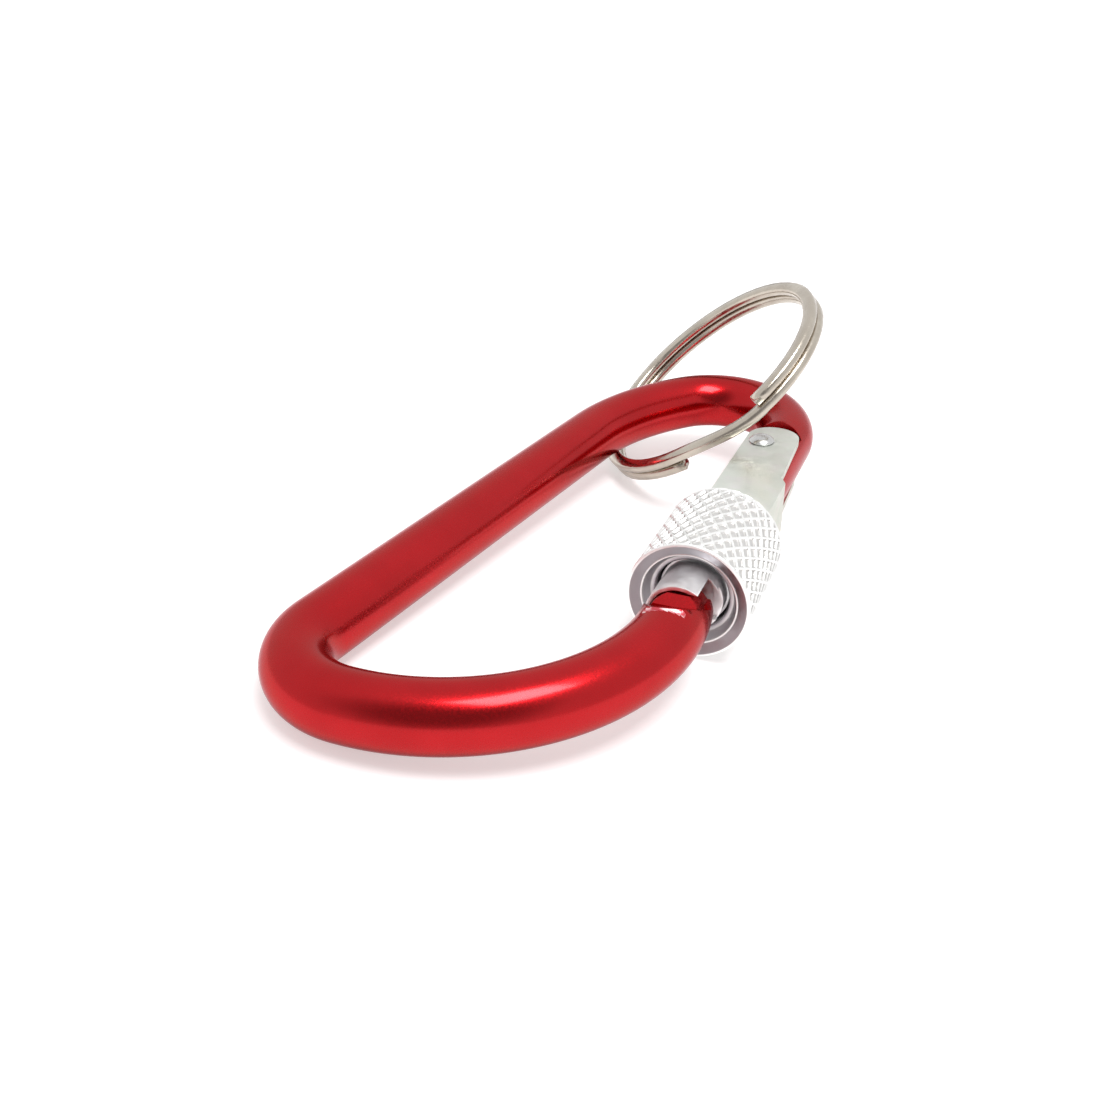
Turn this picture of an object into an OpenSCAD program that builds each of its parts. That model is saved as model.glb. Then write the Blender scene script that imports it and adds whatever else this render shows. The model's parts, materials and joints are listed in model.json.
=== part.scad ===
/* [Body rod] */
// Diameter of the round aluminium rod
rod_d = 6.1; // [5:0.1:8]
// Length of the straight spine between its two bends
spine_len = 47.6; // [40:0.1:60]
// Angle between the spine and the closed gate
gate_tilt = 8.4; // [6:0.1:14]
// Centreline radius of the tight bend at the foot of the spine
heel_bend_r = 7.5; // [6:0.1:12]
// Turn made by that tight bend
heel_bend_angle = 99.2; // [80:0.1:110]
// Centreline radius of the shallow bend at the ring end
slope_bend_r = 26.4; // [20:0.1:40]
// Turn made by the shallow bend
slope_bend_angle = 33.1; // [20:0.1:50]
// Centreline radius of the tight bend at the ring end
ring_bend_r = 7.3; // [6:0.1:12]
// Centreline radius of the wider bend that leads to the pivot
lead_bend_r = 11.3; // [8:0.1:16]
// Turn made by that wider bend
lead_bend_angle = 40; // [20:1:60]
// Straight run from the last bend to the pivot
pivot_run = 6.1; // [5:0.05:12]

/* [Gate] */
// Sideways offset of the gate axis from the pivot
gate_offset = 1.15; // [0:0.05:1.5]
// Width of the flat pivot section
gate_width = 5.9; // [5:0.1:8]
// Thickness over both flat cheeks
gate_thick = 5.4; // [4:0.1:7]
// Distance from the pivot to the end of the flat section
gate_flat_len = 17.6; // [14:0.1:22]
// Outside diameter of the round tube
tube_d = 6.0; // [5:0.1:8]
// Bore of the tube at the nose
tube_bore_d = 5.3; // [4:0.1:6]
// Distance from the pivot to the open end of the tube
tube_end = 33.7; // [30:0.1:42]
// Rivet shank diameter
rivet_d = 2.0; // [1.5:0.1:3]

/* [Locking sleeve] */
// Outside diameter over the knurl
sleeve_d = 11.3; // [9:0.1:14]
// Bore that slides over the tube
sleeve_bore_d = 6.8; // [6:0.1:9]
// Distance from the pivot to the rear face
sleeve_start = 18.35; // [17:0.05:24]
// Sleeve length
sleeve_len = 12.5; // [8:0.1:16]

/* [Split ring] */
// Mean diameter of the two coils
ring_mean_d = 28; // [24:0.1:34]
// Radial width of the ring wire
ring_wire_w = 1.5; // [1:0.1:2.5]
// Thickness of one strand of the ring wire
ring_wire_t = 1.1; // [0.8:0.05:2]

/* [Hidden] */
$fn = 64;

eye_x = 13;
eye_y = 8;
rod_r = rod_d / 2;
nose_bend_angle = 180 + gate_tilt - heel_bend_angle;
ring_bend_angle = 180 - gate_tilt - slope_bend_angle - lead_bend_angle;
bend_gap = 0.4;
bend_lap = 0.25;
lap_rise = 0.05;
slope_end_x = slope_bend_r * (1 - cos(slope_bend_angle));
slope_end_y = spine_len + slope_bend_r * sin(slope_bend_angle);
ring_bend_x = slope_end_x + ring_bend_r * cos(slope_bend_angle) + bend_gap * sin(slope_bend_angle);
ring_bend_y = slope_end_y - ring_bend_r * sin(slope_bend_angle) + bend_gap * cos(slope_bend_angle);
lead_end = gate_tilt + lead_bend_angle;
lead_shift = lead_bend_r - ring_bend_r;
lead_bend_x = ring_bend_x - lead_shift * cos(lead_end) + bend_gap * sin(lead_end);
lead_bend_y = ring_bend_y - lead_shift * sin(lead_end) - bend_gap * cos(lead_end);
lead_start_x = ring_bend_x + ring_bend_r * cos(lead_end);
lead_start_y = ring_bend_y + ring_bend_r * sin(lead_end);
gate_line = lead_bend_x * cos(gate_tilt) + lead_bend_y * sin(gate_tilt) + lead_bend_r;
heel_cos = cos(heel_bend_angle - gate_tilt);
heel_end_x = heel_bend_r * (1 - cos(heel_bend_angle)) + bend_gap * sin(heel_bend_angle);
heel_end_y = -heel_bend_r * sin(heel_bend_angle) - bend_gap * cos(heel_bend_angle);
heel_line = heel_end_x * cos(gate_tilt) + heel_end_y * sin(gate_tilt);
nose_bend_r = (gate_line - heel_line) / (1 + heel_cos);
nose_bend_x = heel_end_x + nose_bend_r * cos(heel_bend_angle);
nose_bend_y = heel_end_y + nose_bend_r * sin(heel_bend_angle);
side_reach = lead_bend_r - gate_offset;
pivot_x = lead_bend_x + side_reach * cos(gate_tilt) + pivot_run * sin(gate_tilt);
pivot_y = lead_bend_y + side_reach * sin(gate_tilt) - pivot_run * cos(gate_tilt);

tongue_half = 1.36;
tongue_tip = 31.9;
tongue_side = 1.9;
tongue_turn = 12;
slope_foot = 34.2;
slope_rise = 28;
slope_turn = 11;
neck = 34.4;
lug_half = 1.85;
lug_end = 2.4;
tail_end = 7.8;
tail_side = 2;
step_r = 5.15;
cheek_gap = 3.9;
pocket_end = 8.6;
wall_side = 3.6;
cheek_taper = 0.45;
web_start = 3.3;
web_wall = 0.6;
socket_floor = 29.9;
mouth_start = 30.4;
mouth_half = 2.5;
head_start = 32;
head_end = 34.7;
head_r = 2.55;
head_half = 2.35;
head_brow = 33.75;
head_slope = 45;
slot_half = 1.5;
thread_start = 19;
thread_pitch = 1;
thread_count = 10;
plunger_side = -0.2;
plunger_tip = 2.43;
spring_start = 9.35;
spring_seat = 16.5;
spring_r = 0.85;
spring_wire_r = 0.17;
spring_turns = 9;
ring_x = 9.02;
ring_y = 59.45;
ring_z = 4.78;
ring_lean = 40.86;
ring_heading = 214.22;
ring_gap_start = 62;
ring_gap_end = 104;
ring_layer = ring_wire_t / 2 + 0.05;
wire_edge = 0.25;

module at_spine() {
  translate([-eye_x, -eye_y, 0]) children();
}

module at_gate() {
  at_spine() translate([pivot_x, pivot_y, 0]) rotate([0, 0, gate_tilt - 90]) children();
}

module along_gate(side) {
  translate([0, side, 0]) rotate([0, 90, 0]) children();
}

module rod_bend(bend_r, turn) {
  rotate_extrude(angle = turn) translate([bend_r, 0]) circle(r = rod_r);
}

// Straight rod that laps over the bends at its two ends by a hair.
module straight_rod(run) {
  translate([0, 0, -bend_lap]) cylinder(h = run + 2 * bend_lap, r = rod_r + lap_rise);
}

module rod_loop() {
  rotate([-90, 0, 0]) cylinder(h = spine_len, r = rod_r);
  translate([heel_bend_r, 0, 0]) rotate([0, 0, 180]) rod_bend(heel_bend_r, heel_bend_angle);
  translate([heel_end_x, heel_end_y, 0]) rotate([-90, 0, heel_bend_angle]) straight_rod(bend_gap);
  translate([slope_end_x, slope_end_y, 0]) rotate([90, 0, 180 - slope_bend_angle]) straight_rod(bend_gap);
  translate([slope_bend_r, spine_len, 0])
    mirror([0, 1, 0]) rotate([0, 0, 180]) rod_bend(slope_bend_r, slope_bend_angle);
  translate([ring_bend_x, ring_bend_y, 0])
    rotate([0, 0, lead_end])
      rod_bend(ring_bend_r, ring_bend_angle);
  translate([lead_start_x, lead_start_y, 0]) rotate([90, 0, lead_end]) straight_rod(bend_gap);
  translate([lead_bend_x, lead_bend_y, 0])
    rotate([0, 0, gate_tilt])
      rod_bend(lead_bend_r, lead_bend_angle);
}

module nose_bend() {
  translate([nose_bend_x, nose_bend_y, 0])
    rotate([0, 0, 180 + heel_bend_angle])
      rod_bend(nose_bend_r, nose_bend_angle + tongue_turn);
}

// Rod end at the nose: flat tongue with a taller head, between sloping shoulders.
module nose_end() {
  difference() {
    at_spine() nose_bend();
    at_gate() {
      translate([tongue_tip - 8, -6, -5]) cube([8, 14, 10]);
      translate([tongue_tip - 8, gate_offset - tongue_side - 6, -5])
        cube([8 + neck - tongue_tip, 6, 10]);
      for (side = [0, 1]) mirror([0, 0, side]) translate([slope_foot, gate_offset, tongue_half])
        rotate([0, 0, slope_turn]) {
          translate([-8, -8, 0]) cube([8, 16, 4]);
          rotate([0, -slope_rise, 0]) translate([-1, -8, 0]) cube([8, 16, 4]);
        }
    }
  }
  at_gate() difference() {
    translate([head_start, 0, 0]) along_gate(gate_offset)
      cylinder(h = head_end - head_start, r = head_r);
    for (side = [0, 1]) mirror([0, 0, side]) translate([head_brow, gate_offset, head_half]) {
      translate([-4, -4, 0]) cube([8, 8, 2]);
      rotate([0, head_slope, 0]) translate([0, -4, 0]) cube([4, 8, 4]);
    }
  }
}

// Rod end at the pivot: flattened lug between the cheeks, with a tail along its outer side.
module pivot_lug() {
  difference() {
    translate([-pivot_run, 0, 0]) along_gate(gate_offset) straight_rod(pivot_run + tail_end - bend_lap);
    for (side = [0, 1]) mirror([0, 0, side]) {
      translate([0, 0, lug_half]) cylinder(h = 3, r = step_r);
      translate([0, -6, lug_half]) cube([9, 14, 3]);
    }
    translate([lug_end, tail_side - 6, -4]) cube([9, 6, 8]);
    translate([0, 0, -4]) cylinder(h = 8, d = rivet_d + 0.04);
  }
}

module frame() {
  color([0.72, 0.1, 0.12]) {
    at_spine() rod_loop();
    nose_end();
    at_gate() pivot_lug();
  }
}

module gate_outline() {
  inner = gate_offset - gate_width / 2;
  outer = gate_offset + gate_width / 2;
  translate([-1.5, gate_offset - cheek_taper / 2]) circle(d = gate_width - cheek_taper);
  polygon([
    [-1.5, inner], [gate_flat_len, inner], [gate_flat_len, gate_offset + wall_side],
    [pocket_end + 0.8, gate_offset + wall_side], [pocket_end - 0.4, outer], [-1.5, outer - cheek_taper]
  ]);
}

module gate() {
  color([0.78, 0.82, 0.78]) at_gate() difference() {
    union() {
      translate([0, 0, -gate_thick / 2]) linear_extrude(gate_thick) gate_outline();
      translate([gate_flat_len - 0.5, 0, 0]) along_gate(gate_offset)
        cylinder(h = tube_end - gate_flat_len + 0.5, d = tube_d);
      for (turn = [0:thread_count - 1])
        translate([thread_start + turn * thread_pitch, 0, 0]) along_gate(gate_offset)
          cylinder(h = 0.45, d = tube_d + 0.4);
    }
    translate([-6, -6, -cheek_gap / 2]) cube([6 + web_start, 14, cheek_gap]);
    translate([0, gate_offset - gate_width / 2 + web_wall, -cheek_gap / 2])
      cube([pocket_end, 10, cheek_gap]);
    translate([0, 0, -5]) cylinder(h = 10, d = rivet_d + 0.1);
    translate([pocket_end - 0.5, 0, 0]) along_gate(plunger_side)
      cylinder(h = spring_seat + 0.5 - pocket_end, r = 1.25);
    translate([socket_floor, 0, 0]) along_gate(gate_offset)
      cylinder(h = 6, d = tube_bore_d);
    translate([socket_floor, gate_offset, -slot_half]) cube([6, 5, 2 * slot_half]);
    translate([mouth_start, gate_offset, -mouth_half]) cube([6, 5, 2 * mouth_half]);
  }
}

module rivet_half() {
  translate([0, 0, gate_thick / 2 + 0.05]) {
    cylinder(h = 0.3, r = 1.35);
    translate([0, 0, 0.3]) cylinder(h = 0.25, r1 = 1.35, r2 = 0.95);
  }
}

module rivet() {
  color([0.75, 0.75, 0.76]) at_gate() {
    translate([0, 0, -gate_thick / 2 - 0.1]) cylinder(h = gate_thick + 0.2, d = rivet_d);
    rivet_half();
    mirror([0, 0, 1]) rivet_half();
  }
}

module sleeve() {
  color([0.85, 0.86, 0.88]) at_gate() translate([sleeve_start, 0, 0]) along_gate(gate_offset)
    difference() {
      union() {
        translate([0, 0, 0.5]) cylinder(h = sleeve_len - 1, d = sleeve_d);
        cylinder(h = 0.5, d1 = sleeve_d - 1, d2 = sleeve_d);
        translate([0, 0, sleeve_len - 0.5]) cylinder(h = 0.5, d1 = sleeve_d, d2 = sleeve_d - 0.3);
      }
      translate([0, 0, -1]) cylinder(h = sleeve_len + 2, d = sleeve_bore_d);
      translate([0, 0, sleeve_len - 1.5]) cylinder(h = 1.5, r1 = 3.9, r2 = 4.3);
      for (turn = [1:6])
        translate([0, 0, 1.6 + turn * thread_pitch]) cylinder(h = 0.5, d = sleeve_bore_d + 0.5);
    }
}

module plunger() {
  color([0.7, 0.7, 0.72]) at_gate() {
    translate([plunger_tip, 0, 0]) along_gate(plunger_side) cylinder(h = 6.6, r = 0.6);
    translate([8.75, 0, 0]) along_gate(plunger_side) cylinder(h = 0.55, r = 1.1);
    translate([9.2, 0, 0]) along_gate(plunger_side) cylinder(h = 2.4, r = 0.5);
  }
}

// Section carried round the Z axis along a path of [angle, height] pairs.
module swept(mean_r, section, path) {
  m = len(section);
  points = [for (p = path, q = section)
    [(mean_r + q[0]) * cos(p[0]), (mean_r + q[0]) * sin(p[0]), p[1] + q[1]]];
  last = (len(path) - 1) * m;
  lower = [for (i = [0:len(path) - 2], j = [0:m - 1])
    [i * m + j, (i + 1) * m + j, i * m + (j + 1) % m]];
  upper = [for (i = [0:len(path) - 2], j = [0:m - 1])
    [i * m + (j + 1) % m, (i + 1) * m + j, (i + 1) * m + (j + 1) % m]];
  first_cap = [for (j = [0:m - 1]) j];
  last_cap = [for (j = [m - 1:-1:0]) last + j];
  polyhedron(points, concat(lower, upper, [first_cap, last_cap]));
}

module spring() {
  coil_rise = spring_seat - spring_start - 0.1 - 2 * spring_wire_r;
  steps = 14 * spring_turns;
  section = [for (a = [0:45:315]) [spring_wire_r * cos(a), spring_wire_r * sin(a)]];
  path = [for (i = [0:steps]) [360 * spring_turns * i / steps, spring_wire_r + coil_rise * i / steps]];
  color([0.6, 0.6, 0.62]) at_gate()
    translate([spring_start, 0, 0]) along_gate(plunger_side) swept(spring_r, section, path);
}

function wire_section(w, t) = [
  [-w, -t + wire_edge], [-w + wire_edge, -t], [w - wire_edge, -t], [w, -t + wire_edge],
  [w, t - wire_edge], [w - wire_edge, t], [-w + wire_edge, t], [-w, t - wire_edge]
];

// One strand wound twice: upper coil, a step down between the coil ends, lower coil.
module split_ring() {
  coil_turn = 360 - ring_gap_end + ring_gap_start;
  upper = [for (i = [0:52]) [ring_gap_end + coil_turn * i / 52, ring_layer]];
  step = [for (i = [1:9]) [
    ring_gap_start + (ring_gap_end - ring_gap_start) * i / 10,
    ring_layer * cos(18 * i)
  ]];
  lower = [for (i = [0:52]) [ring_gap_end + coil_turn * i / 52, -ring_layer]];
  section = wire_section(ring_wire_w / 2, ring_wire_t / 2);
  color([0.8, 0.78, 0.74]) at_spine()
    translate([ring_x, ring_y, ring_z]) rotate([0, ring_lean, ring_heading])
      swept(ring_mean_d / 2, section, concat(upper, step, lower));
}

frame();
gate();
rivet();
sleeve();
plunger();
spring();
split_ring();
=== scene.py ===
"""Looks of the carabiner keyring: red anodised rod, plated gate, knurled sleeve, nickel ring."""

import json
import math

import bmesh
import bpy
import numpy as np
from mathutils import Matrix, Vector


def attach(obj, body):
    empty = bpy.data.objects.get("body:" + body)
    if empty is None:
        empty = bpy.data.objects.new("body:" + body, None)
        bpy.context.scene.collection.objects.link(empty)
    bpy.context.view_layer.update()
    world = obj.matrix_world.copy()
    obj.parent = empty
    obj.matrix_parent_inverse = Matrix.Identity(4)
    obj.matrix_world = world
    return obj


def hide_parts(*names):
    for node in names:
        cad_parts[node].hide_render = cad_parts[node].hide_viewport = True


MM = 0.001

# Measures of the CAD source that the rod and the sleeve are built from, in millimetres and degrees.
ROD_RADIUS = 3.05
SPINE_X, SPINE_LOW, SPINE_HIGH = -13.0, -8.0, 39.6
HEEL_BEND, NOSE_BEND_RADIUS = (7.5, 99.2), 19.877
SLOPE_BEND, RING_BEND, LEAD_BEND = (26.4, 33.1), (7.3, 98.5), (11.3, 40.0)
BEND_GAP = 0.4
GATE_OFFSET = 1.15
TONGUE_HALF, TONGUE_TIP, TONGUE_SIDE, NECK = 1.36, 31.9, 1.9, 34.4
SHOULDER_FOOT, SHOULDER_RISE, SHOULDER_TURN = 34.2, 28, 11
HEAD_RADIUS, HEAD_START, HEAD_END = 2.55, 32.0, 34.7
HEAD_BROW, HEAD_HALF = 33.75, 2.35
LUG_HALF, LUG_END, LUG_STEP = 1.85, 2.4, 5.15
TAIL_END, TAIL_SIDE = 7.8, 2
SLEEVE_BORE = 3.4

# Not from the CAD: its head slopes at 45 degrees, and a shallower one catches the light.
HEAD_SLOPE = 38
# The gate has the tube's finish past this step.
TUBE_START = 17.7

# Both ends of the rod lie this close to the gate's line, and nothing else of it does.
NEAR_GATE = 7.0

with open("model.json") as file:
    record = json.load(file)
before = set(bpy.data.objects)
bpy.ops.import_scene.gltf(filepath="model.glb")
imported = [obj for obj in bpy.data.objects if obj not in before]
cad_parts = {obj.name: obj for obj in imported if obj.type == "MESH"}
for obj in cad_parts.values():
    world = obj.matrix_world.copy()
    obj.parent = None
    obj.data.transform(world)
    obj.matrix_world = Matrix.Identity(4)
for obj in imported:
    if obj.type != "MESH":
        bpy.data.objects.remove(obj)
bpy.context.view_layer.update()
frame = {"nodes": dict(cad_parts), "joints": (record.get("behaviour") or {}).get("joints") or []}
nodes = frame["nodes"]
scene = bpy.context.scene

# Gate axes: along the closed gate to the nose, outwards, and up, from the rivet.
joints = {joint["name"]: joint for joint in frame["joints"]}
UP = Vector((0, 0, 1))
along = Vector(joints["sleeve_slide"]["axis"]).normalized()
outward = UP.cross(along)
pivot = Vector(joints["gate_hinge"]["pos_m"])


def place(step, side=0.0, height=0.0):
    """Point in the row frame of a place given along, outwards and above, in millimetres."""
    return pivot + (along * step + outward * side + UP * height) * MM


def measure(point):
    """How far a point lies along, outwards and above, in millimetres."""
    offset = (point - pivot) / MM
    return offset.dot(along), offset.dot(outward), offset.z


def extent(name, axis):
    """Lowest and highest reach of a CAD node on one gate axis, in millimetres."""
    values = [measure(v.co)[axis] for v in nodes[name].data.vertices]
    return min(values), max(values)


# ------------------------------------------------------------------ materials
class Surface:
    """A Principled material that is put together from procedural textures."""

    def __init__(self, name, metallic=1.0):
        self.material = bpy.data.materials.new(name)
        self.material.use_nodes = True
        self.tree = self.material.node_tree
        self.shader = self.tree.nodes["Principled BSDF"]
        self.shader.inputs["Metallic"].default_value = metallic

    def add(self, kind):
        return self.tree.nodes.new(kind)

    def link(self, output, target):
        self.tree.links.new(output, target)

    def noise(self, scale, detail=4.0, stretch=(1, 1, 1)):
        coords = self.add("ShaderNodeTexCoord")
        mapping = self.add("ShaderNodeMapping")
        mapping.inputs["Scale"].default_value = [scale * s for s in stretch]
        texture = self.add("ShaderNodeTexNoise")
        texture.inputs["Scale"].default_value = 1.0
        texture.inputs["Detail"].default_value = detail
        self.link(coords.outputs["Object"], mapping.inputs["Vector"])
        self.link(mapping.outputs["Vector"], texture.inputs["Vector"])
        return texture.outputs["Fac"]

    def ramp(self, value, stops):
        node = self.add("ShaderNodeValToRGB")
        elements = node.color_ramp.elements
        while len(elements) < len(stops):
            elements.new(0.5)
        for element, (spot, colour) in zip(elements, stops):
            element.position = spot
            element.color = (*colour, 1.0)
        self.link(value, node.inputs["Fac"])
        return node.outputs["Color"]

    def colour(self, value, stops):
        self.link(self.ramp(value, stops), self.shader.inputs["Base Color"])

    def roughness(self, value, low, high):
        node = self.add("ShaderNodeMapRange")
        node.inputs["From Min"].default_value = 0.3
        node.inputs["From Max"].default_value = 0.7
        node.inputs["To Min"].default_value = low
        node.inputs["To Max"].default_value = high
        self.link(value, node.inputs["Value"])
        self.link(node.outputs["Result"], self.shader.inputs["Roughness"])

    def bump(self, value, depth_mm, strength=0.5):
        node = self.add("ShaderNodeBump")
        node.inputs["Strength"].default_value = strength
        node.inputs["Distance"].default_value = depth_mm * MM
        self.link(value, node.inputs["Height"])
        self.link(node.outputs["Normal"], self.shader.inputs["Normal"])

    def rim(self, tint):
        """Colour of the metal's reflection where it is seen edge on."""
        self.shader.inputs["Specular Tint"].default_value = (*tint, 1.0)

    def coat(self, weight, roughness):
        self.shader.inputs["Coat Weight"].default_value = weight
        self.shader.inputs["Coat Roughness"].default_value = roughness


def red_anodised():
    skin = Surface("red_anodised")
    dye = [(0.35, (0.41, 0.002, 0.005)), (0.65, (0.47, 0.004, 0.008))]
    skin.colour(skin.noise(160.0, 3.0), dye)
    grain = skin.noise(5200.0, 3.0)
    skin.roughness(grain, 0.20, 0.30)
    skin.bump(grain, 0.006)
    skin.rim((0.62, 0.38, 0.40))
    skin.coat(0.4, 0.16)
    return skin.material


def painted_shoulder_highlight():
    """Pale red metal for the bright band on the nose's shoulder, a painted highlight. Worn
    dye there is a guess.
    """
    skin = Surface("painted_shoulder_highlight")
    skin.colour(
        skin.noise(2400.0, 3.0, (0.4, 1, 1)),
        [(0.40, (0.55, 0.08, 0.10)), (0.52, (0.80, 0.45, 0.48)), (0.68, (0.92, 0.80, 0.80))],
    )
    skin.roughness(skin.noise(1800.0, 3.0), 0.30, 0.50)
    return skin.material


def gate_plate():
    skin = Surface("zinc_plated_gate")
    skin.colour(
        skin.noise(420.0, 5.0),
        [(0.3, (0.76, 0.80, 0.75)), (0.5, (0.82, 0.85, 0.80)), (0.7, (0.85, 0.85, 0.83))],
    )
    skin.roughness(skin.noise(900.0, 6.0), 0.30, 0.46)
    skin.bump(skin.noise(2600.0, 4.0), 0.008)
    skin.rim((0.55, 0.54, 0.51))
    return skin.material


def knurled_aluminium():
    skin = Surface("knurled_aluminium")
    painted_light_level = skin.add("ShaderNodeAttribute")
    painted_light_level.attribute_name = "painted_light_level"
    # Colour from the painted light level: painted shade in the knurl's pits and on its flanks, on
    # the rear face, in the bore and thread and on the rim's face; painted highlights on the ridges
    # and the rim's edges.
    skin.colour(
        painted_light_level.outputs["Fac"],
        [
            (0.02, (0.40, 0.38, 0.40)),
            (0.16, (0.62, 0.60, 0.62)),
            (0.34, (0.72, 0.71, 0.69)),
            (0.55, (0.52, 0.51, 0.50)),
            (0.90, (0.95, 0.95, 0.94)),
        ],
    )
    skin.roughness(skin.noise(1500.0, 5.0), 0.30, 0.48)
    skin.bump(skin.noise(3200.0, 4.0), 0.012)
    return skin.material


def nickel():
    skin = Surface("nickel_plate")
    skin.colour(skin.noise(300.0, 3.0), [(0.35, (0.46, 0.41, 0.35)), (0.65, (0.56, 0.51, 0.44))])
    skin.roughness(skin.noise(1600.0, 4.0), 0.16, 0.28)
    skin.bump(skin.noise(2400.0, 3.0), 0.006)
    return skin.material


def steel():
    skin = Surface("plated_steel")
    skin.colour(skin.noise(500.0, 4.0), [(0.35, (0.55, 0.55, 0.55)), (0.65, (0.68, 0.68, 0.67))])
    skin.roughness(skin.noise(1400.0, 5.0), 0.20, 0.34)
    skin.bump(skin.noise(2600.0, 3.0), 0.008)
    return skin.material


def polished_tube():
    skin = Surface("turned_tube")
    skin.colour(skin.noise(700.0, 4.0), [(0.35, (0.90, 0.90, 0.91)), (0.65, (0.98, 0.98, 0.98))])
    skin.roughness(skin.noise(1300.0, 5.0), 0.34, 0.56)
    skin.bump(skin.noise(2200.0, 4.0), 0.012)
    return skin.material


RED = red_anodised()
SHOULDER_HIGHLIGHT = painted_shoulder_highlight()
TUBE = polished_tube()
GATE = gate_plate()
KNURLED = knurled_aluminium()
NICKEL = nickel()
STEEL = steel()


# ------------------------------------------------------------------ pieces
def new_piece(name, mesh, body, stands_for, material):
    """An object that stands for a CAD node and rides on its body."""
    piece = bpy.data.objects.new(name, mesh)
    scene.collection.objects.link(piece)
    mesh.materials.clear()
    mesh.materials.append(material)
    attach(piece, body)
    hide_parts(stands_for)
    return piece


def soften(piece, width, weights):
    """Rounds the edges that weights(edge) picks, and smooths the shading elsewhere."""
    mesh = bmesh.new()
    mesh.from_mesh(piece.data)
    bmesh.ops.remove_doubles(mesh, verts=mesh.verts, dist=0.0005 * MM)
    layer = mesh.edges.layers.float.new("bevel_weight_edge")
    for face in mesh.faces:
        face.smooth = True
    for edge in mesh.edges:
        weight = 0.0
        if len(edge.link_faces) == 2 and edge.calc_face_angle() > math.radians(20):
            weight = weights((edge.verts[0].co + edge.verts[1].co) / 2)
        edge[layer] = weight
    mesh.to_mesh(piece.data)
    mesh.free()
    bevel = piece.modifiers.new("round_edges", "BEVEL")
    bevel.limit_method = "WEIGHT"
    bevel.width = width * MM
    bevel.segments = 3
    shading = piece.modifiers.new("even_shading", "WEIGHTED_NORMAL")
    shading.weight = 100
    shading.mode = "FACE_AREA"


def weld(mesh, distance):
    """Merges points closer than a distance in millimetres."""
    cleaner = bmesh.new()
    cleaner.from_mesh(mesh)
    bmesh.ops.remove_doubles(cleaner, verts=cleaner.verts, dist=distance * MM)
    cleaner.to_mesh(mesh)
    cleaner.free()


class Rod:
    """Centreline of the bent rod, walked along in millimetres from a start and a heading."""

    def __init__(self, x, y, heading):
        self.x, self.y, self.heading = x, y, heading
        self.stops = [(x, y, heading)]

    def run(self, length, pieces=6):
        for _ in range(pieces):
            self.x += length / pieces * math.cos(math.radians(self.heading))
            self.y += length / pieces * math.sin(math.radians(self.heading))
            self.stops.append((self.x, self.y, self.heading))

    def bend(self, radius, turn, pieces=60):
        """Positive turns go left, negative ones right."""
        side = math.copysign(90, turn)
        centre_x = self.x + radius * math.cos(math.radians(self.heading + side))
        centre_y = self.y + radius * math.sin(math.radians(self.heading + side))
        for _ in range(pieces):
            self.heading += turn / pieces
            self.x = centre_x - radius * math.cos(math.radians(self.heading + side))
            self.y = centre_y - radius * math.sin(math.radians(self.heading + side))
            self.stops.append((self.x, self.y, self.heading))


LIP_STEP, LIP_WIDTH, LIP_HEIGHT = 37.15, 0.42, 0.32
# Span of the shoulder's painted highlight past the lip's line, and the height above which it lies.
HIGHLIGHT_START, HIGHLIGHT_END, HIGHLIGHT_HEIGHT = 0.3, 0.75, 2.6
FAR_OFF = 99.0


def past_lip(point):
    """How far a point is past the line of the nose's shoulder lip, in millimetres."""
    step, side, _ = measure(point)
    if abs(side) > NEAR_GATE:
        return FAR_OFF
    return step + math.tan(math.radians(SHOULDER_TURN)) * (side - GATE_OFFSET) - LIP_STEP


def rod_mesh(stops, radius, steps=96):
    """Tube round the stops, with a small raised lip along the nose's shoulder, a guess."""
    lip_foot, lip_fade = 0.74, 0.12
    verts, faces = [], []
    for x, y, heading in stops:
        side_x, side_y = -math.sin(math.radians(heading)), math.cos(math.radians(heading))
        for j in range(steps):
            a = 2 * math.pi * j / steps
            reach = radius * math.cos(a)
            spot = Vector((x + reach * side_x, y + reach * side_y, radius * math.sin(a)))
            crown = min(1.0, max(0.0, (abs(math.sin(a)) - lip_foot) / lip_fade))
            if crown > 0:
                rise = LIP_HEIGHT * crown * math.exp(-((past_lip(spot * MM) / LIP_WIDTH) ** 2))
                spot.z += math.copysign(rise, spot.z)
            verts.append(spot)
    for i in range(len(stops) - 1):
        for j in range(steps):
            n = (j + 1) % steps
            faces.append((i * steps + j, i * steps + n, (i + 1) * steps + n, (i + 1) * steps + j))
    faces.append(tuple(reversed(range(steps))))
    faces.append(tuple(range((len(stops) - 1) * steps, len(stops) * steps)))
    mesh = bpy.data.meshes.new("rod")
    mesh.from_pydata(verts, [], faces)
    mesh.transform(Matrix.Scale(MM, 4))
    return mesh


def cutter(corners, turns=(), shift=(0, 0, 0)):
    """A box for cutting, between two corners, turned and then moved in the gate's own axes."""
    mesh = bpy.data.meshes.new("cutter")
    box = bmesh.new()
    bmesh.ops.create_cube(box, size=1)
    low, high = Vector(corners[0]), Vector(corners[1])
    for vertex in box.verts:
        vertex.co = Vector((low[k] + (vertex.co[k] + 0.5) * (high[k] - low[k]) for k in range(3)))
    box.to_mesh(mesh)
    box.free()
    for angle, axis in turns:
        mesh.transform(Matrix.Rotation(math.radians(angle), 4, axis))
    mesh.transform(Matrix.Translation(shift))
    return mesh


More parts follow.
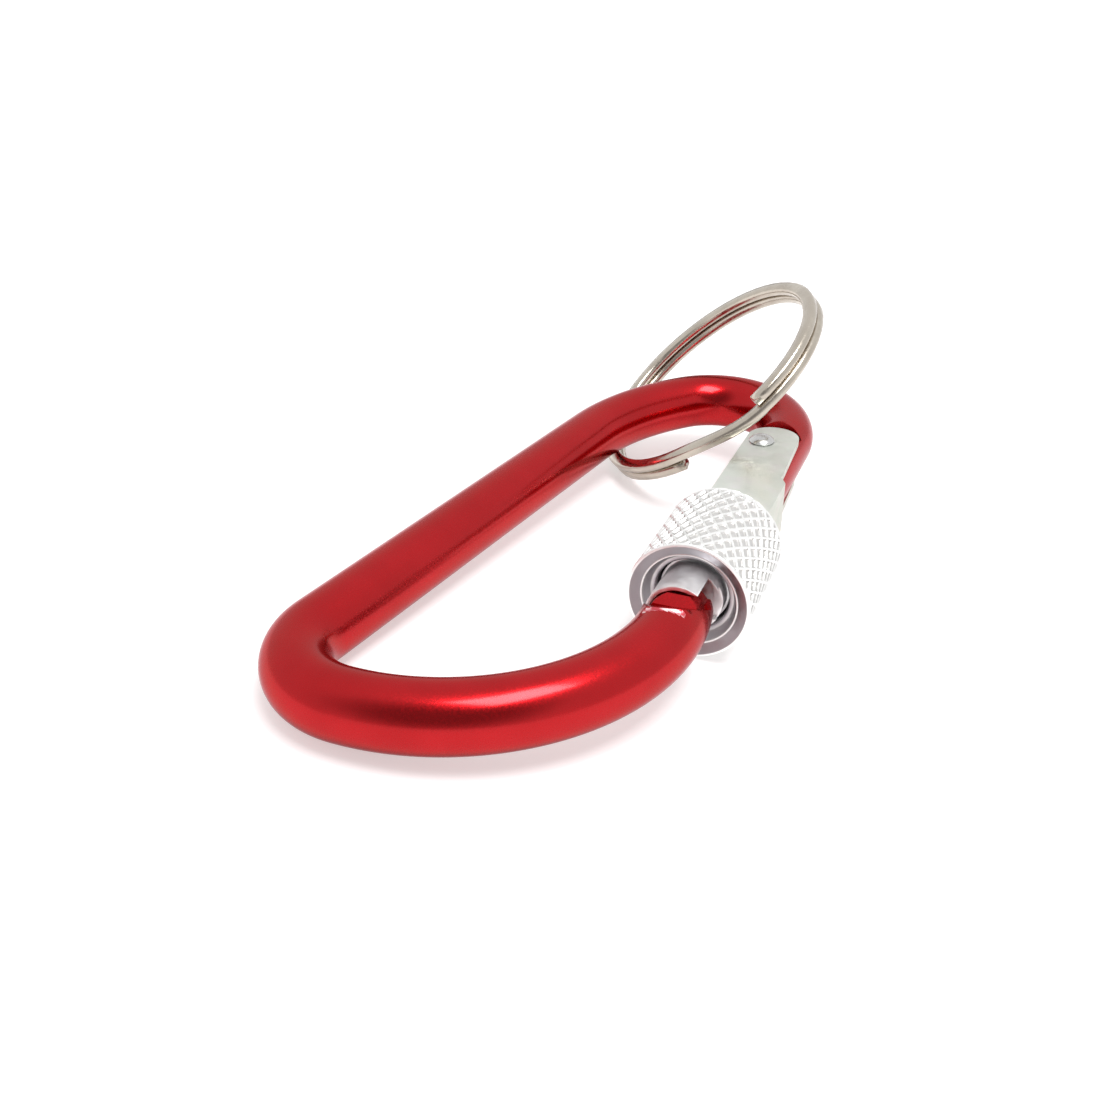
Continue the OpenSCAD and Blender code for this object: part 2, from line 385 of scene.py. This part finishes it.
def disc(radius, low, high, axis_x=False, steps=96, shift=(0, 0, 0)):
    """A round bar for cutting or joining on, along Z or along the gate."""
    mesh = bpy.data.meshes.new("disc")
    shape = bmesh.new()
    bmesh.ops.create_cone(
        shape, cap_ends=True, segments=steps, radius1=radius, radius2=radius, depth=high - low
    )
    shape.to_mesh(mesh)
    shape.free()
    mesh.transform(Matrix.Translation((0, 0, (low + high) / 2)))
    if axis_x:
        mesh.transform(Matrix.Rotation(math.radians(90), 4, "Y"))
    mesh.transform(Matrix.Translation(shift))
    return mesh


def carve(mesh, cut):
    """The mesh less the cutting mesh, both still in the gate's own axes."""
    solid = bpy.data.objects.new("solid", mesh)
    scene.collection.objects.link(solid)
    combine(solid, cut, "DIFFERENCE", Matrix.Identity(4))
    shaped = solid.data
    bpy.data.objects.remove(solid)
    return shaped


def combine(target, mesh, operation, spot=None):
    """Cuts a tool mesh out of the target object, or joins it on."""
    if spot is None:
        turn = Matrix((along, outward, UP)).transposed().to_4x4()
        spot = Matrix.Translation(pivot) @ turn @ Matrix.Scale(MM, 4)
    mesh.transform(spot)
    tool = bpy.data.objects.new("tool", mesh)
    scene.collection.objects.link(tool)
    change = target.modifiers.new("shape", "BOOLEAN")
    change.operation = operation
    change.solver = "EXACT"
    change.object = tool
    bpy.context.view_layer.update()
    shaped = bpy.data.meshes.new_from_object(
        target.evaluated_get(bpy.context.evaluated_depsgraph_get())
    )
    target.modifiers.clear()
    target.data = shaped
    bpy.data.objects.remove(tool)


def bent_rod():
    """The whole rod before its two ends are cut, from the nose round the loop to the lug."""
    nose_reach, pieces = 12, 60
    tilt = math.degrees(math.atan2(along.x, -along.y))
    lower = Rod(SPINE_X, SPINE_LOW, -90)
    lower.bend(*HEEL_BEND)
    lower.run(BEND_GAP, 1)
    lower.bend(NOSE_BEND_RADIUS, 180 + tilt - HEEL_BEND[1] - nose_reach, pieces)
    lower.bend(NOSE_BEND_RADIUS, 2 * nose_reach, pieces)
    upper = Rod(SPINE_X, SPINE_LOW, 90)
    upper.run(SPINE_HIGH - SPINE_LOW, pieces)
    upper.bend(SLOPE_BEND[0], -SLOPE_BEND[1])
    upper.run(BEND_GAP, 1)
    upper.bend(RING_BEND[0], -RING_BEND[1])
    upper.run(BEND_GAP, 1)
    upper.bend(LEAD_BEND[0], -LEAD_BEND[1])
    here = measure(Vector((upper.x, upper.y, 0)) * MM)
    upper.run(TAIL_END - here[0], 24)
    back = [(x, y, heading + 180) for x, y, heading in reversed(lower.stops)]
    return rod_mesh(back[:-1] + upper.stops, ROD_RADIUS)


def slab(near, far, sign):
    """Corners of a box above a level, or of its mirror image below it."""
    if sign > 0:
        return (*near, 0), far
    return (*near, -far[2]), (far[0], far[1], 0)


def cut_nose(body, sign):
    """Cuts one side of the flat tongue and the slope that rises from it to the full rod."""
    foot = (SHOULDER_FOOT, GATE_OFFSET, sign * TONGUE_HALF)
    turn = (SHOULDER_TURN, "Z")
    level = cutter(slab((-8, -8), (0, 8, 4), sign), [turn], foot)
    ramp = cutter(slab((-1, -8), (8, 8, 4), sign), [(-sign * SHOULDER_RISE, "Y"), turn], foot)
    combine(body, level, "DIFFERENCE")
    combine(body, ramp, "DIFFERENCE")


def cut_lug(body, sign):
    """Flattens one side of the lug that the gate's cheeks turn on."""
    low, high = sorted((sign * LUG_HALF, sign * (LUG_HALF + 3)))
    combine(body, disc(LUG_STEP, low, high), "DIFFERENCE")
    combine(body, cutter(((0, -6, low), (9, 8, high))), "DIFFERENCE")


def nose_head():
    """Round head that fills the tube's mouth, flattened and sloped on both sides."""
    head = disc(HEAD_RADIUS, HEAD_START, HEAD_END, True, shift=(0, GATE_OFFSET, 0))
    for sign in (1, -1):
        brow = (HEAD_BROW, GATE_OFFSET, sign * HEAD_HALF)
        head = carve(head, cutter(slab((-4, -4), (4, 4, 2), sign), (), brow))
        slope = [(sign * HEAD_SLOPE, "Y")]
        head = carve(head, cutter(slab((0, -4), (4, 4, 4), sign), slope, brow))
    return head


def rod_edge(middle):
    """How much an edge of the rod is rounded, by where its middle lies."""
    step, side, height = measure(middle)
    if abs(side) > NEAR_GATE:
        return 0.0
    if 30.0 < step < 40.0:
        return 1.0 if abs(height) > 1.5 and step > 34.5 else 0.35
    return 0.45 if abs(step) < 9.0 else 0.0


def build_frame():
    body = bpy.data.objects.new("rod_body", bent_rod())
    scene.collection.objects.link(body)
    inner_side = GATE_OFFSET - TONGUE_SIDE
    tip_cut = cutter(((TONGUE_TIP - 8, -6, -5), (TONGUE_TIP, 8, 5)))
    combine(body, tip_cut, "DIFFERENCE")
    side_cut = cutter(((TONGUE_TIP - 8, inner_side - 6, -5), (NECK, inner_side, 5)))
    combine(body, side_cut, "DIFFERENCE")
    for sign in (1, -1):
        cut_nose(body, sign)
        cut_lug(body, sign)
    combine(body, cutter(((LUG_END, -4, -4), (LUG_END + 9, TAIL_SIDE, 4))), "DIFFERENCE")
    combine(body, nose_head(), "UNION")

    piece = new_piece("rod", body.data, "frame", "frame", RED)
    piece.data.materials.append(SHOULDER_HIGHLIGHT)
    # Faces along the shoulder's lip take the painted highlight.
    for face in piece.data.polygons:
        on_lip = HIGHLIGHT_START < past_lip(face.center) < HIGHLIGHT_END
        if on_lip and abs(face.center.z) > HIGHLIGHT_HEIGHT * MM:
            face.material_index = 1
    bpy.data.objects.remove(body)
    soften(piece, 0.42, rod_edge)


def gate_edge(middle):
    """How much an edge of the gate is rounded: most along the flat waist's outer side."""
    step, side, height = measure(middle)
    long_edge = abs(height) > 2.5 and 8.4 < step < 17.0 and side > 4.0
    return 1.0 if long_edge else 0.3


def build_gate():
    body = new_piece("gate_body", nodes["gate"].data.copy(), "gate", "gate", GATE)
    body.data.materials.append(TUBE)
    soften(body, 0.6, gate_edge)
    for face in body.data.polygons:
        if measure(face.center)[0] > TUBE_START:
            face.material_index = 1


def to_gate(mesh, side):
    """Moves a mesh in millimetres round the X axis onto the gate's own axes."""
    turn = Matrix((along, outward, UP)).transposed().to_4x4()
    mesh.transform(Matrix.Translation(place(0, side)) @ turn @ Matrix.Scale(MM, 4))


KNURL_STARTS, KNURL_HELIX, KNURL_DEPTH = 29, 31, 0.24


def knurl_pits(theta, step, rear, front, outer):
    """Depth of the knurl's pits: 0 on the crossing ridges, 1 on the floors between them."""
    crest_half, flank = 0.12, 0.26
    lean = (step - rear) * math.tan(math.radians(KNURL_HELIX)) / outer
    depth = np.full(theta.shape, 1.0)
    for sign in (1, -1):
        phase = (theta + sign * lean) * KNURL_STARTS / (2 * math.pi)
        away = np.abs(phase - np.round(phase)) * 2
        depth = np.minimum(depth, np.clip((away - crest_half) / flank, 0, 1))
    fade = np.clip(np.minimum((step - rear) / 0.5, (front - step) / 0.18), 0, 1)
    return depth * depth * (3 - 2 * depth) * fade


def sleeve_rows(start, end, outer, angles):
    """Rows of (step, radii, painted light level): rear face, knurl, front rim, then thread."""
    bore, groove = SLEEVE_BORE, SLEEVE_BORE + 0.22
    # Rear face: painted shade.
    rows = [(start, bore, 0.3), (start, outer - 0.55, 0.3), (start + 0.12, outer - 0.38, 0.3)]
    rear, front = start + 0.45, end - 0.22
    steps = np.linspace(rear, front, 150)
    pits = knurl_pits(*np.meshgrid(angles, steps), rear, front, outer)
    # Knurl: painted highlights on the ridges, painted shade on the flanks and the pit floors.
    rows += [
        (step, outer - KNURL_DEPTH * pit, 1 - 0.7 * pit) for step, pit in zip(steps, pits)
    ]
    # Front rim: painted highlights on its outer and inner edges, painted shade on its face and in
    # the mouth.
    front_profile = [
        (0.19, outer - 0.005, 1.0),
        (0.07, outer - 0.06, 1.0),
        (0.0, outer - 0.24, 1.0),
        (0.01, outer - 0.29, 0.0),
        (0.03, outer - 0.36, 0.0),
        (0.42, 4.50, 0.0),
        (0.40, 4.42, 1.0),
        (0.42, 4.34, 1.0),
        (0.52, 4.27, 0.15),
        (1.42, 3.92, 0.15),
        (1.50, 3.82, 0.3),
        (1.50, bore + 0.12, 0.0),
        (1.62, bore, 0.0),
    ]
    rows += [(end - back, radius, level) for back, radius, level in front_profile]
    # Thread: painted shade.
    thread_profile = [(0.0, bore), (0.22, groove), (0.42, groove), (0.64, bore)]
    pitch = 1.0
    spot = end - 2.4
    while spot > start + 1.5:
        rows += [(spot - back, radius, 0.0) for back, radius in thread_profile]
        spot -= pitch
    return rows


def build_sleeve():
    start, end = extent("sleeve", 0)
    low, high = extent("sleeve", 1)
    samples_per_start = 15
    around = KNURL_STARTS * samples_per_start
    angles = np.linspace(0, 2 * math.pi, around, endpoint=False)
    rows = sleeve_rows(start, end, (high - low) / 2, angles)
    verts, painted_light_level = [], []
    for step, radii, level in rows:
        radii = np.broadcast_to(radii, around)
        verts += [(step, r * math.cos(a), r * math.sin(a)) for r, a in zip(radii, angles)]
        painted_light_level.append(np.broadcast_to(level, around))
    faces = []
    for i in range(len(rows)):
        k = (i + 1) % len(rows)
        for j in range(around):
            n = (j + 1) % around
            faces.append((i * around + j, k * around + j, k * around + n, i * around + n))
    mesh = bpy.data.meshes.new("knurled_sleeve")
    mesh.from_pydata(verts, [], faces)
    to_gate(mesh, (low + high) / 2)
    mesh.polygons.foreach_set("use_smooth", [True] * len(mesh.polygons))
    # Each point keeps its painted light level for the material.
    brightness = mesh.attributes.new("painted_light_level", "FLOAT", "POINT")
    brightness.data.foreach_set("value", np.concatenate(painted_light_level))
    new_piece("knurled_sleeve", mesh, "sleeve", "sleeve", KNURLED)
    mesh.set_sharp_from_angle(angle=math.radians(38))


def build_rivet():
    top = extent("rivet", 2)[1]
    head = top - 0.55
    radius = 1.35
    dome = [(0.0, 0.0), (0.55, 0.01), (0.85, 0.07), (1.08, 0.19), (1.25, 0.34)]
    arc = [(r, top - drop) for r, drop in dome]
    arc += [(radius, head + 0.08), (radius - 0.03, head), (1.0, head)]
    profile = arc + [(r, -z) for r, z in reversed(arc)]
    steps = 64
    angles = [2 * math.pi * j / steps for j in range(steps)]
    verts = [(r * math.cos(a), r * math.sin(a), z) for r, z in profile for a in angles]
    faces = []
    for i in range(len(profile) - 1):
        for j in range(steps):
            n = (j + 1) % steps
            corners = (i * steps + j, (i + 1) * steps + j, (i + 1) * steps + n, i * steps + n)
            faces.append(corners)
    mesh = bpy.data.meshes.new("rivet_heads")
    mesh.from_pydata(verts, [], faces)
    mesh.transform(Matrix.Translation(pivot) @ Matrix.Scale(MM, 4))
    weld(mesh, 0.001)
    mesh.polygons.foreach_set("use_smooth", [True] * len(mesh.polygons))
    new_piece("rivet_heads", mesh, "frame", "rivet", STEEL)
    mesh.set_sharp_from_angle(angle=math.radians(50))


def build_ring():
    mesh = nodes["split_ring"].data.copy()
    new_piece("key_ring", mesh, "split_ring", "split_ring", NICKEL)
    weld(mesh, 0.0005)
    mesh.polygons.foreach_set("use_smooth", [True] * len(mesh.polygons))
    mesh.set_sharp_from_angle(angle=math.radians(60))


def dress_hidden(name):
    node = nodes[name]
    node.data.materials.clear()
    node.data.materials.append(STEEL)
    for polygon in node.data.polygons:
        polygon.use_smooth = True


build_frame()
build_gate()
build_sleeve()
build_rivet()
build_ring()
dress_hidden("plunger")
dress_hidden("spring")


# ------------------------------------------------------------------ floor, light and camera
def resting_plane():
    """Normal and a point of the plane that the carabiner rests on, found from its own shape."""
    corners = bmesh.new()
    weigh = [v.co for v in nodes["frame"].data.vertices]
    middle = (sum(weigh, Vector()) / len(weigh)).to_2d()
    for name in ("frame", "sleeve", "split_ring"):
        for vertex in nodes[name].data.vertices:
            if vertex.co.z < 0:
                corners.verts.new(vertex.co)
    bmesh.ops.convex_hull(corners, input=corners.verts)
    corners.normal_update()
    found = None
    for face in corners.faces:
        if face.normal.z > -0.5:
            continue
        spots = [v.co.to_2d() for v in face.verts]
        turns = []
        for i in range(len(spots)):
            edge = spots[i] - spots[i - 1]
            inner = middle - spots[i - 1]
            turns.append(edge.x * inner.y - edge.y * inner.x)
        if min(turns) >= 0 or max(turns) <= 0:
            found = (-face.normal.copy(), face.verts[0].co.copy())
    corners.free()
    return found


FLOOR_SIZE, FLOOR_GAP = 60.0, 0.02

floor_up, touch = resting_plane()
bpy.ops.mesh.primitive_plane_add(size=FLOOR_SIZE)
floor = bpy.context.object
floor.name = "floor"
floor.rotation_mode = "QUATERNION"
floor.rotation_quaternion = UP.rotation_difference(floor_up)
floor.location = touch - floor_up * FLOOR_GAP * MM
paper = Surface("pale_floor", 0.0)
paper.colour(paper.noise(30.0), [(0.3, (0.57, 0.56, 0.56)), (0.7, (0.60, 0.59, 0.59))])
paper.shader.inputs["Emission Color"].default_value = (1.0, 0.98, 0.98, 1.0)
paper.shader.inputs["Emission Strength"].default_value = 0.5
paper.shader.inputs["Roughness"].default_value = 0.6
floor.data.materials.append(paper.material)

DARK_AZIMUTH, DARK_HEIGHT = -62, 38


def direction(azimuth, height):
    """Unit vector towards a place in the sky, in degrees."""
    a, h = math.radians(azimuth), math.radians(height)
    return Vector((math.cos(h) * math.cos(a), math.cos(h) * math.sin(a), math.sin(h)))


# The sky is even white, with a dim patch where the dark side of the room is.
world = bpy.data.worlds.new("studio")
scene.world = world
world.use_nodes = True
tree = world.node_tree
background = tree.nodes["Background"]
coords = tree.nodes.new("ShaderNodeTexCoord")
facing = tree.nodes.new("ShaderNodeVectorMath")
facing.operation = "DOT_PRODUCT"
facing.inputs[1].default_value = direction(DARK_AZIMUTH, DARK_HEIGHT)
tree.links.new(coords.outputs["Generated"], facing.inputs[0])
shade = tree.nodes.new("ShaderNodeValToRGB")
shade.color_ramp.elements[0].position = 0.68
shade.color_ramp.elements[0].color = (0.95, 0.95, 0.95, 1)
shade.color_ramp.elements[1].position = 0.93
shade.color_ramp.elements[1].color = (0.32, 0.31, 0.31, 1)
tree.links.new(facing.outputs["Value"], shade.inputs["Fac"])
tree.links.new(shade.outputs["Color"], background.inputs["Color"])
background.inputs["Strength"].default_value = 1.0

middle = place(20, -8)


def softbox(name, azimuth, height, distance, size, power):
    """Area light that faces the gate from a place in the sky."""
    data = bpy.data.lights.new(name, "AREA")
    data.shape = "RECTANGLE"
    data.size, data.size_y = size
    data.energy = power
    light = bpy.data.objects.new(name, data)
    reach = direction(azimuth, height)
    light.location = middle + reach * distance
    light.rotation_euler = (-reach).to_track_quat("-Z", "Y").to_euler()
    scene.collection.objects.link(light)


softbox("window", -14, 71, 0.6, (0.30, 0.24), 3.0)

camera_data = bpy.data.cameras.new("camera")
camera_data.sensor_width = 36.0
camera_data.lens = 41.19
camera_data.clip_start = 0.005
camera = bpy.data.objects.new("camera", camera_data)
camera.location = (0.04983, -0.07568, 0.05706)
camera.rotation_euler = (1.07083, -0.00162, 0.53517)
scene.collection.objects.link(camera)
scene.camera = camera
scene.view_settings.view_transform = "Standard"
